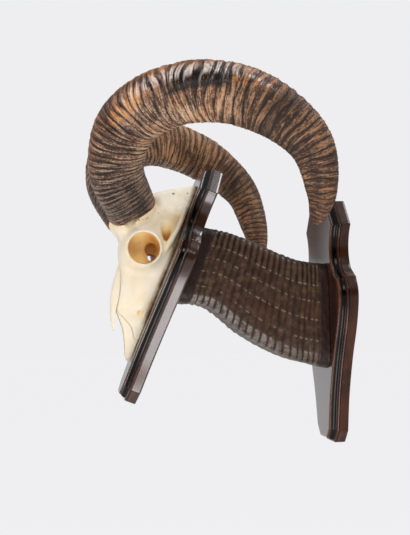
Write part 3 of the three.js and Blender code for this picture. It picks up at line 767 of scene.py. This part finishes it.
# Swells and hollows: middle, radii, and how wide they are eased into the bone around.
ARCH_GAP = ((56, 214, 1.5), (12, 22, 4), 2.0)
TOOTH_SWELL = ((27.5, 128, 14), (5.5, 17, 9), 6.0)
BROW_DIP = ((52, 206, 62), (7, 11, 5), 5.0)
CANAL = ((26, 108.5, 11), (3.0, 5.5, 3.0), 2.0)
SOCKET_FLOOR = ((22, 189, 25.4), (10, 8.4, 8.4), 1.5)
NOSE_OPENING, NOSE_RADII, NOSE_FLOOR = (0, 96, 21), (11.5, 40, 13), 6
# Small holes for vessels, as place and radius: above the orbit, in its wall and on the braincase.
BONE_PITS = [
    (52.5, 213.5, 54.5, 1.3), (48.5, 222.0, 45.4, 1.2), (50.5, 209.0, 57.5, 0.8), (25.4, 265.4, 26.5, 1.3),
    (22.6, 193.0, 41.5, 1.1), (24.0, 197.5, 37.0, 0.7), (55.0, 203.0, 50.0, 0.7),
]
# Pinholes by the horn's edge and on the braincase, painted as dark spots of shade, as place on the side and
# radius.
PAINTED_PINHOLES = [
    (214.5, 54.7, 1.2), (221.6, 45.6, 0.9), (208.9, 57.4, 0.7), (217.1, 50.0, 0.6), (219.1, 47.0, 0.6),
    (212.0, 56.6, 0.6), (264.7, 24.9, 1.5), (271.0, 8.5, 0.9), (233.6, 34.3, 0.6),
]
# The nose bones lie in the cranium: place up the board, half width, and heights of top and low edge.
NASAL = [
    (76.5, 2.2, 34.2, 32.4), (84, 7, 39.6, 35.2), (92, 9.5, 43.6, 37.8), (101, 11.5, 47.4, 40),
    (116, 12.2, 52.2, 42), (133, 12.2, 55.5, 45.8), (147, 10.5, 56.6, 50.6), (157, 4.5, 57.2, 54.6),
]
# By height out of the board: the place up it where the cranium ends at the front jaw bones' seam.
JAW_SEAM = [
    (-5, 76.5), (0.6, 76.5), (6.6, 77.1), (10.4, 83.8), (15.4, 89.9), (30, 97.5), (39.5, 101.1), (60, 106),
]
GAP = 0.2
# The block that the left half of the cranium is worked out in, and the size of its cubes.
SKULL_LOW, SKULL_HIGH, SKULL_STEP = (0, 73, -1.5), (60, 290, 116), 0.99
# How much of the horn's length can touch the bone. Its core goes down into the skull from the
# root: the depth, and the core's size there as a share of the horn's.
HORN_ROOT = 120
CORE_LENGTH = 44
CORE_SIZE = [(0.5, 0.965), (22, 0.86), (44, 0.62)]


def joined(a, b, ease):
    """The lesser of two depths, eased over a distance where they meet, as flesh-smooth bone does."""
    near = np.clip(0.5 + 0.5 * (b - a) / ease, 0, 1)
    return b + (a - b) * near - ease * near * (1 - near)


def carved_out(depth, hole, ease):
    """A depth with a hole's inside taken away: the greater of the depth and minus the hole's."""
    return -joined(-depth, hole, ease)


def arch_depth(rows, x, s, n):
    """How far a point is beyond an arched body: along the ray from the middle of the base, whose
    section is a squared half ellipse read off the rows at s, and past its first or last row."""
    fine = smooth_path(rows, np.linspace(0, 1, 400))
    half, high, square = read_off(s, fine)
    reach = (np.abs(x) / half) ** (2 / square) + (np.maximum(n, 0) / high) ** (2 / square)
    reach = np.maximum(reach ** (square / 2), 1e-3)
    ray = np.hypot(x, n)
    return np.maximum(ray - ray / reach, np.maximum(fine[0, 0] - s, s - fine[-1, 0]))


def egg_depth(x, s, n, centre, radii):
    """How far a point is beyond an ellipsoid, taken in its shortest radius."""
    a, b, c = ((value - middle) / radius for value, middle, radius in zip((x, s, n), centre, radii))
    return (np.sqrt(a**2 + b**2 + c**2) - 1) * min(radii)


def chain_depth(x, s, n, eggs):
    """The least depth over ellipsoids, each given as its middle and its radii."""
    least = np.inf
    for middle, radii in eggs:
        least = np.minimum(least, egg_depth(x, s, n, middle, radii))
    return least


left_horn = HORN_COMMON + HORN_ENDS["left"]
centre, radius, distance, onward, outward, sideways = horn_line(left_horn, HORN_ALONG)


def horn_depth(x, s, n):
    """How far points are beyond the root of the left horn: outside its section at the nearest of
    every seventh point of its centre line, or behind the flat start of the sheath."""
    every = 7
    line = centre[:np.searchsorted(distance, HORN_ROOT):every]
    points = np.stack(np.broadcast_arrays(x, s, n), axis=-1)
    flat = points.reshape(-1, 3)
    near = ((flat[:, None] - line[None]) ** 2).sum(axis=2).argmin(axis=1) * every
    off = flat - centre[near]
    out, side = (off * outward[near]).sum(axis=1), (off * sideways[near]).sum(axis=1) / HORN_NARROW
    turn = np.arctan2(side, out)
    beyond = np.hypot(out, side) - radius[near] * (1 - HORN_THREE_SIDED * np.cos(3 * turn))
    behind = -((flat - centre[0]) @ onward[0])
    return np.maximum(beyond * 0.9, behind - GAP - 0.1).reshape(points.shape[:-1])


def core_depth(x, s, n):
    """How far points are beyond the bone core that the left horn stands on: the horn's own section
    carried straight down from its root into the skull, narrowing as it goes."""
    off = [v - c for v, c in zip((x, s, n), centre[0])]
    back, out, side = (-sum(v * w for v, w in zip(off, way[0])) for way in (onward, outward, sideways))
    turn = np.arctan2(-side / HORN_NARROW, -out)
    size = read_off(back, CORE_SIZE) * radius[0] * (1 - HORN_THREE_SIDED * np.cos(3 * turn))
    return np.maximum(np.hypot(out, side / HORN_NARROW) - size, np.maximum(0.5 - back, back - CORE_LENGTH))


def nasal_depth(x, s, n, grow):
    """How far points are beyond the left nose bone, a quarter ellipse standing on its lower edge,
    made larger by a distance."""
    fine = smooth_path(NASAL, np.linspace(0, 1, 200))
    half, top, low = read_off(s, fine)
    inner = GAP / 2 - grow
    reach = np.hypot(np.maximum(x - inner, 0) / (half + 2 * grow),
                     np.maximum(n - low + grow, 0) / (top - low + 6 * grow))
    ends = np.maximum(NASAL[0][0] - grow - s, s - NASAL[-1][0] - grow)
    sides = np.maximum(low - grow - n, inner - x)
    return np.maximum(np.maximum((reach - 1) * 6, sides), ends)


def part_of(x, s, n, nearer, farther):
    """Index of the part of a block between two corners, and that part's own three runs."""
    inside = [(run.ravel() > a) & (run.ravel() < b) for run, a, b in zip((x, s, n), nearer, farther)]
    index = np.ix_(*inside)
    return index, [run.take(np.ravel(at), axis) for axis, (run, at) in enumerate(zip((x, s, n), index))]


def skull_depth(x, s, n):
    """How far the points of a block are beyond the left half of the skull, negative inside: arched
    bodies, rims, cores and arches joined smoothly, then the openings taken out."""

    def swollen(bone, middle, radii, ease):
        return joined(bone, egg_depth(x, s, n, middle, radii), ease)

    def hollowed(bone, middle, radii, ease):
        return carved_out(bone, egg_depth(x, s, n, middle, radii), ease)

    across_orbit = np.hypot(s - ORBIT[0], n - ORBIT[1])
    rim = np.maximum(across_orbit - read_off(x, ORBIT_RIM), x - ORBIT_RIM[-1][0])
    bone = joined(arch_depth(FACE, x, s, n), rim, 9.0)
    hollow = [(row[:3], (HOLLOW_DEEP, row[3], row[3])) for row in smooth_path(HOLLOW, np.linspace(0, 1, 26))]
    bone = carved_out(bone, chain_depth(x, s, n, hollow), 2.5)
    bone = hollowed(bone, *ARCH_GAP)
    bone = joined(bone, arch_depth(BRAINCASE, x, s, n), 5.0)
    bone = joined(bone, core_depth(x, s, n), 5.0)
    low_rear, there = part_of(x, s, n, (20, 176, -9), (99, 266, 26))
    arch = [(middle, CHEEK_RADII) for middle in smooth_path(CHEEK_ARCH, np.linspace(0, 1, 36))]
    bone[low_rear] = joined(bone[low_rear], chain_depth(*there, arch), 3.0)
    bone = swollen(bone, *TOOTH_SWELL)
    bone = hollowed(bone, *BROW_DIP)
    bone = hollowed(bone, *CANAL)
    socket = across_orbit - read_off(x, ORBIT_SOCKET)
    bone = carved_out(bone, socket * 0.85, 1.2)
    bone = hollowed(bone, *SOCKET_FLOOR)
    through = np.hypot(s - PASSAGE[0], n - PASSAGE[1]) - PASSAGE_RADIUS
    bone = carved_out(bone, np.maximum(through, x - PASSAGE_REACH), 1.0)
    nostril = np.maximum(egg_depth(x, s, n, NOSE_OPENING, NOSE_RADII), NOSE_FLOOR - n)
    bone = carved_out(bone, nostril, 1.5)
    for *middle, size in BONE_PITS:
        bone = hollowed(bone, middle, (size,) * 3, 0.6)
    bone = carved_out(bone, nasal_depth(x, s, n, GAP), 0.3)
    root, there = part_of(x, s, n, (-9, 178, 26), (80, 268, 199))
    bone[root] = carved_out(bone[root], horn_depth(*there), 0.4)
    ahead = read_off(n, JAW_SEAM)
    return np.maximum(bone, np.maximum((ahead - s) * 0.8, 0.1 - n))


def block(low, high, step):
    """Places in a block of cubes, as three runs that spread against each other."""
    runs = [np.arange(a, b + step, step) for a, b in zip(low, high)]
    return [run.reshape([-1 if k == axis else 1 for k in range(3)]) for axis, run in enumerate(runs)]


def bone_skin(value, low, step):
    """Surface where a depth changes sign in a block of cubes: each cube with corners on both
    sides gets one point, the mean of the crossings on its edges, and each edge that crosses gets
    a face through the four cubes round it."""
    cells = tuple(size - 1 for size in value.shape)
    total, count = np.zeros((*cells, 3)), np.zeros(cells)
    crossings = []
    for axis in range(3):
        first = value.take(np.arange(cells[axis]), axis)
        second = value.take(np.arange(1, cells[axis] + 1), axis)
        crossed = (first < 0) != (second < 0)
        crossings.append((crossed, first < 0))
        part = np.where(crossed, first / np.where(crossed, first - second, 1), 0)
        others = [k for k in range(3) if k != axis]
        for shift_a in (0, 1):
            for shift_b in (0, 1):
                cut = [slice(None)] * 3
                for other, shift in zip(others, (shift_a, shift_b)):
                    cut[other] = slice(shift, shift + cells[other])
                hit = crossed[tuple(cut)]
                count += hit
                total[..., axis] += part[tuple(cut)]
                total[..., others[0]] += hit * shift_a
                total[..., others[1]] += hit * shift_b
    used = count > 0
    number = np.full(cells, -1)
    number[used] = np.arange(used.sum())
    points = (np.argwhere(used) + total[used] / count[used][:, None]) * step + low
    faces = []
    for axis, (crossed, first_inside) in enumerate(crossings):
        at = np.argwhere(crossed)
        others = [k for k in range(3) if k != axis]
        at = at[((at[:, others] > 0) & (at[:, others] < np.array(cells)[others])).all(axis=1)]
        corner = np.zeros((4, 3), int)
        corner[:, others] = [(-1, -1), (0, -1), (0, 0), (-1, 0)]
        quad = number[tuple(np.moveaxis(at[:, None] + corner, -1, 0))]
        back = first_inside[tuple(at.T)] ^ (axis == 1)
        faces.append(np.where(back[:, None], quad, quad[:, ::-1]))
    return points, np.vstack(faces)


def relaxed(points, faces, rounds):
    """Points drawn half of the way toward the mean of their neighbours, a few times."""
    ends = np.vstack([faces[:, [k, (k + 1) % 4]] for k in range(4)])
    ends = np.vstack([ends, ends[:, ::-1]])
    count = np.bincount(ends[:, 0], minlength=len(points))
    for _ in range(rounds):
        mean = np.stack([np.bincount(ends[:, 0], run[ends[:, 1]], len(run)) for run in points.T], axis=1)
        points = points + 0.5 * (mean / count[:, None] - points)
    return points


def rise(value, low, high):
    """Eased rise from 0 to 1 as a value goes from low to high."""
    f = np.clip((value - low) / (high - low), 0, 1)
    return f * f * (3 - 2 * f)


x, s, n = block(SKULL_LOW, SKULL_HIGH, SKULL_STEP)
half = skull_depth(x, s, n)
whole = np.concatenate([half[:0:-1], half])
skull_points, skull_faces = bone_skin(whole, (-x[-1, 0, 0], *SKULL_LOW[1:]), SKULL_STEP)
skull_points = relaxed(skull_points, skull_faces, 2)

# Marks by place: ochre stain in the sockets, with ochre painted as shade in the hollow behind the orbit,
# its valley and round the canal, painted shade where the sockets and that hollow are deepest, porous round
# the horns' roots, painted light on the braincase, and glue with painted shade along the lower edge.
side, up, out = np.abs(skull_points[:, 0]), skull_points[:, 1], skull_points[:, 2]
ring = np.hypot(up - ORBIT[0], out - ORBIT[1])
inside = rise(ring, 21.8, 20.0) * rise(side, 55.5, 53.0)
deep = inside * rise(side, 54, 36)
behind = rise((up - ORBIT[0]) * 0.37 - (out - ORBIT[1]) * 0.93, -4, 13)
pit = np.linalg.norm((np.column_stack([side, up, out]) - (42, 206, 15)) / (13, 17, 12), axis=1)
valley = 0.55 * rise(side, 50, 42) * rise(out, 34, 10) * rise(out, 1, 4)
valley = valley * rise(up, 198, 206) * rise(up, 250, 236)
canal = 0.6 * rise(np.hypot(up - CANAL[0][1], out - CANAL[0][2]), 6.5, 2) * rise(side, 15, 20)
pores = rise(horn_depth(side, up, out), 12, 2) * rise(out, 30, 40)
vessels = np.max([rise(np.hypot(up - a, out - b), r + 0.5, r - 0.5) for a, b, r in PAINTED_PINHOLES], axis=0)
marks = {
    "ochre": np.clip(inside * 0.5 + deep * 0.5 + rise(pit, 1.3, 0.5) + valley + canal, 0, 1),
    "burnt": np.clip(deep * behind * 0.9 + rise(pit, 0.85, 0.35), 0, 1),
    "pores": pores,
    "bleached": rise(up, 224, 250) * (1 - pores),
    "vessels": vessels * rise(side, 12, 18),
    "glued": rise(out, 6.5, 1.5) * rise(up, 85, 110),
}
cranium = add_piece("cranium_bone", on_skull_board(skull_points), skull_faces, marks=marks)

# Dry bone: warm ivory, duller and porous under the horns, ochre where tissue stained the sockets, with ochre
# and darker brown painted as shade in the hollows, painted light on the braincase, and painted shade at the
# pinholes and along the glued edge.
bone_finish, paint = new_finish("dry_bone", IOR=1.5)
place = paint.place()
porous = paint.mark("pores")
cloud = place.noise(28.0, 4.0, 0.6)
blush = place.noise(60.0, 3.0, 0.6, 0.8)
grain = place.noise(420.0, 4.0, 0.7)
bone = cloud.ramp((0.3, (0.72, 0.65, 0.53)), (0.5, (0.7, 0.61, 0.46)), (0.72, (0.65, 0.525, 0.35)))
# Painted light that lightens the top of the braincase where the horns shade it.
bone = bone.stained((0.92, 0.86, 0.72), paint.mark("bleached") * cloud.step(0.7, 0.3, 0.4, 0.9))
bone = bone.stained((0.82, 0.6, 0.44), blush.step(0.56, 0.74, 0.0, 0.45))
bone = bone.stained((0.74, 0.55, 0.3), place.noise(75.0, 4.0, 0.7).step(0.54, 0.72, 0.0, 0.6))
# Ochre: stain in the sockets, and painted shade in the hollow behind the orbit, its valley and the canal.
bone = bone.stained((0.86, 0.63, 0.28), paint.mark("ochre") * cloud.step(0.2, 0.6, 0.8, 1.0))
# Painted shade, dark brown, where the sockets and the hollow behind them are deepest.
bone = bone.stained((0.5, 0.2, 0.03), paint.mark("burnt") * 0.95)
# Glue, and painted shade in the gap where the bone meets the board.
bone = bone.stained((0.2, 0.11, 0.045), paint.mark("glued") * blush.step(0.3, 0.6, 0.6, 1.0))
bone = bone.stained((0.66, 0.5, 0.27), porous * blush.step(0.35, 0.6, 0.5, 0.9))
cells = paint.node("TexVoronoi", {"feature": "F1"}, {"Vector": place, "Scale": 480.0}, output="Distance")
holes = cells.step(0.3, 0.12) * place.noise(200.0, 2.0).step(0.5, 0.62)
bone = bone.stained((0.3, 0.17, 0.08), holes * porous * 0.8)
# The pinholes painted as dark spots of shade.
bone = bone.stained((0.1, 0.05, 0.02), paint.mark("vessels") * 0.85)
relief = paint.bump(grain, 0.0003, 0.5, paint.bump(cloud, 0.0012, 0.5))
paint.feed(Base_Color=bone, Roughness=cloud.step(0.3, 0.7, 0.42, 0.58),
           Normal=paint.bump(holes * porous, 0.0006, -0.8, relief))
fit_piece(cranium, "cranium", bone_finish)

# ---------------- nose bones
# Two thin roof tiles of bone side by side over the nose opening, pointed in front, held in the
# cranium by seams that have opened a little.
NASAL_RINGS = 170


def add_bone_pair(name, x, s, n, sharp=None):
    """The left bone from a grid of points in skull coordinates, and its mirror image."""
    points = np.dstack(np.broadcast_arrays(x, s, n))
    for hand, mirror in (("left", 1), ("right", -1)):
        bone = add_tube(f"{name}_{hand}_bone", on_skull_board(points * (mirror, 1, 1)), sharp=sharp)
        fit_piece(bone, f"{name}_{hand}", bone_finish)


# Each row is a quarter ellipse, a short side down to its lower edge and a flat floor.
rows = smooth_path(NASAL, np.linspace(0, 1, NASAL_RINGS))
up, half, top, low = (rows[:, k, None] for k in range(4))
bend = np.linspace(0, np.pi / 2, 26)
ledge = np.linspace(0, 1, 10)[1:]
section_x = np.concatenate([np.cos(bend), 0 * ledge, ledge[:-1]])
section_n = np.concatenate([np.sin(bend), 1 - ledge, 0 * ledge[:-1]])
add_bone_pair("nasal", GAP / 2 + half * section_x, up, low + (top - low) * section_n, sharp=50)

# ---------------- front jaw bones
# Two slim blades of bone in front of the upper jaw, drawing together toward the tip of the
# snout, each with a thin branch rising along the seam beside the nose opening.

# Place up the board, and heights of each blade's lower and upper edge.
JAW_EDGE = [
    (47, 3.2, 3.6), (48, 1.8, 5.4), (53.2, 1.2, 9.3), (65, 0.9, 13.7), (76.2, 0.7, 19.2), (77.4, 6.8, 19.8),
    (83.4, 10.5, 23.5), (89.5, 15.3, 28.6), (97.1, 29.8, 35.2), (100.6, 38.8, 39.3),
]
JAW_THICK = [(47, 1.3), (52, 1.8), (92, 1.6), (100.6, 0.8)]
JAW_RINGS, JAW_ROUND = 150, 48
up = np.linspace(JAW_EDGE[0][0], JAW_EDGE[-1][0], JAW_RINGS)[:, None]
low, high = read_off(up, JAW_EDGE)
turn = np.linspace(0, 2 * np.pi, JAW_ROUND, endpoint=False)
jaw_n = (low + high) / 2 + (high - low) / 2 * squared(np.sin(turn), 0.8)
# Outside, each blade carries on the upper jaw's own surface.
muzzle_half, muzzle_high, _ = read_off(up, smooth_path(FACE, np.linspace(0, 1, 400)))
flush = muzzle_half * np.clip(1 - (jaw_n / muzzle_high) ** 2.5, 0.02, 1) ** 0.4
thick = read_off(up, JAW_THICK)
add_bone_pair("premaxilla", flush - thick + thick * squared(np.cos(turn), 0.35), up, jaw_n)

# ---------------- floor and light
# A plain pale floor far below, and a pale room that is darker on the side the trophy is seen from,
# so that the varnish stays dark. Five square soft lamps stand round it: in front, above and
# behind, at the side, below, and one that fills the shade without showing in the gloss.
FLOOR_LEVEL, FLOOR_HALF = -1.3, 30
# Place, the point it lights, size and radiance.
LAMPS = {
    "key": ((-0.05, -1.45, 0.8), (0, -0.2, 0.05), 0.9, 3.0),
    "top": ((0.16, 0.7, 1.2), (0.05, -0.15, 0.1), 0.5, 11),
    "side": ((1.03, -0.02, 1.05), (0.1, -0.2, 0.2), 0.45, 8.5),
    "under": ((0.72, -0.35, -0.66), (0, -0.2, 0.0), 0.5, 8),
    "fill": ((1.3, -0.6, 0.6), (0, -0.2, 0.05), 0.8, 2.7),
}
ROOM_LIGHT, ROOM_DARKER, ROOM_SEEN = 0.6, 0.58, 0.855

floor_mesh = bpy.data.meshes.new("floor")
floor_mesh.from_pydata([(x * FLOOR_HALF, y * FLOOR_HALF, FLOOR_LEVEL)
                        for x, y in ((-1, -1), (1, -1), (1, 1), (-1, 1))], [], [(0, 1, 2, 3)])
floor = put_in_scene("floor", floor_mesh)
floor_finish, _ = new_finish("floor_paper", Base_Color=(0.3, 0.3, 0.3, 1), Roughness=1.0,
                             Specular_IOR_Level=0.0, Emission_Color=(0.98, 0.98, 1.0, 1),
                             Emission_Strength=0.72)
floor_mesh.materials.append(floor_finish)

for name, (place, aim, size, glow) in LAMPS.items():
    lamp_data = bpy.data.lights.new(name, "AREA")
    lamp_data.size = size
    lamp_data.energy = glow * math.pi * size**2
    lamp = put_in_scene(name, lamp_data)
    lamp.location = place
    lamp.rotation_mode = "QUATERNION"
    lamp.rotation_quaternion = (Vector(aim) - Vector(place)).to_track_quat("-Z", "Y")
    lamp.visible_camera = False
    lamp.visible_glossy = name != "fill"

world = bpy.data.worlds.new("room")
bpy.context.scene.world = world
world.use_nodes = True
room = Socket(world.node_tree)
way = room.node("TexCoord", {}, {}, output="Generated")
toward_x = room.node("SeparateXYZ", {}, {"Vector": way}, output=0)
height = room.node("SeparateXYZ", {}, {"Vector": way}, output=2)
dark_side = toward_x.step(-0.1, 0.4) * height.math("ABSOLUTE").step(0.75, 0.4)
seen = room.node("LightPath", {}, {}, output="Is Camera Ray")
strength = (ROOM_LIGHT - dark_side * ROOM_DARKER) * (1 - seen) + seen * ROOM_SEEN
background = world.node_tree.nodes["Background"]
background.inputs["Color"].default_value = (1.0, 1.0, 1.02, 1)
room.tree.links.new(strength.output, background.inputs["Strength"])
bpy.context.scene.view_settings.view_transform = "Standard"
